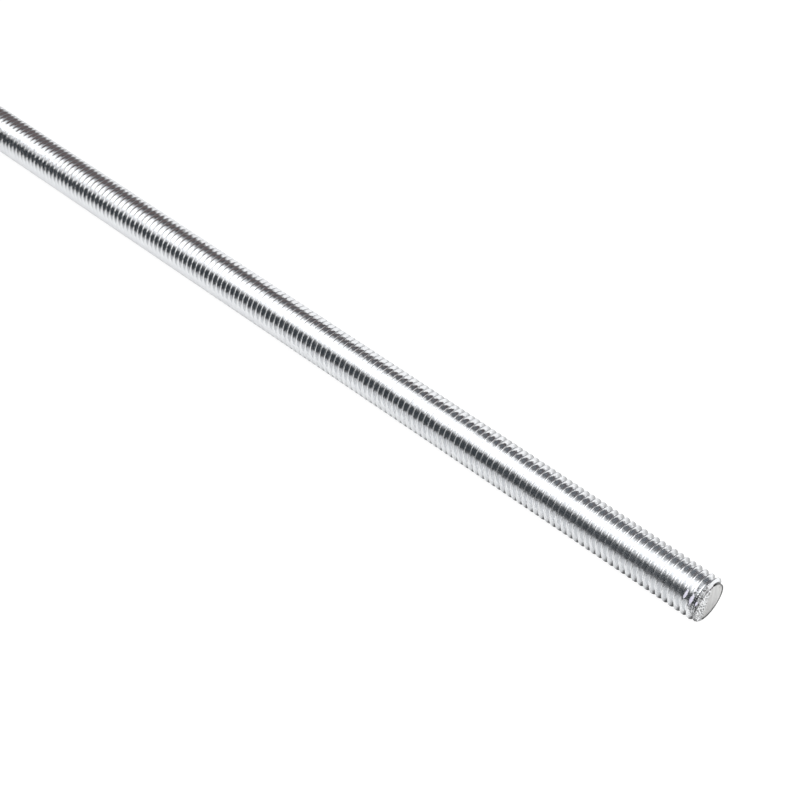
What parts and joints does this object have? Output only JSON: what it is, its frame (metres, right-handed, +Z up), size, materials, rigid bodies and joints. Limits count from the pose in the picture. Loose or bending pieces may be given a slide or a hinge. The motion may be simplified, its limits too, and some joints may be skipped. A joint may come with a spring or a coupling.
{
  "type": "threaded rod",
  "caption": "Straight steel rod threaded from end to end, with a chamfer on both cut ends, for hanging, clamping and tying things together with nuts.",
  "frame": {"origin": "middle of the rod, on its axis", "axes": "+X along the rod's axis, towards the end that lies nearest in the picture; +Z up when the rod lies on a table; +Y completes a right-handed frame"},
  "size_m": [0.25, 0.01, 0.01],
  "materials": {
    "zinc_plated_steel": "bright zinc plate"
  },
  "bodies": {
    "root": {"threaded_rod": "zinc_plated_steel"}
  },
  "joints": []
}
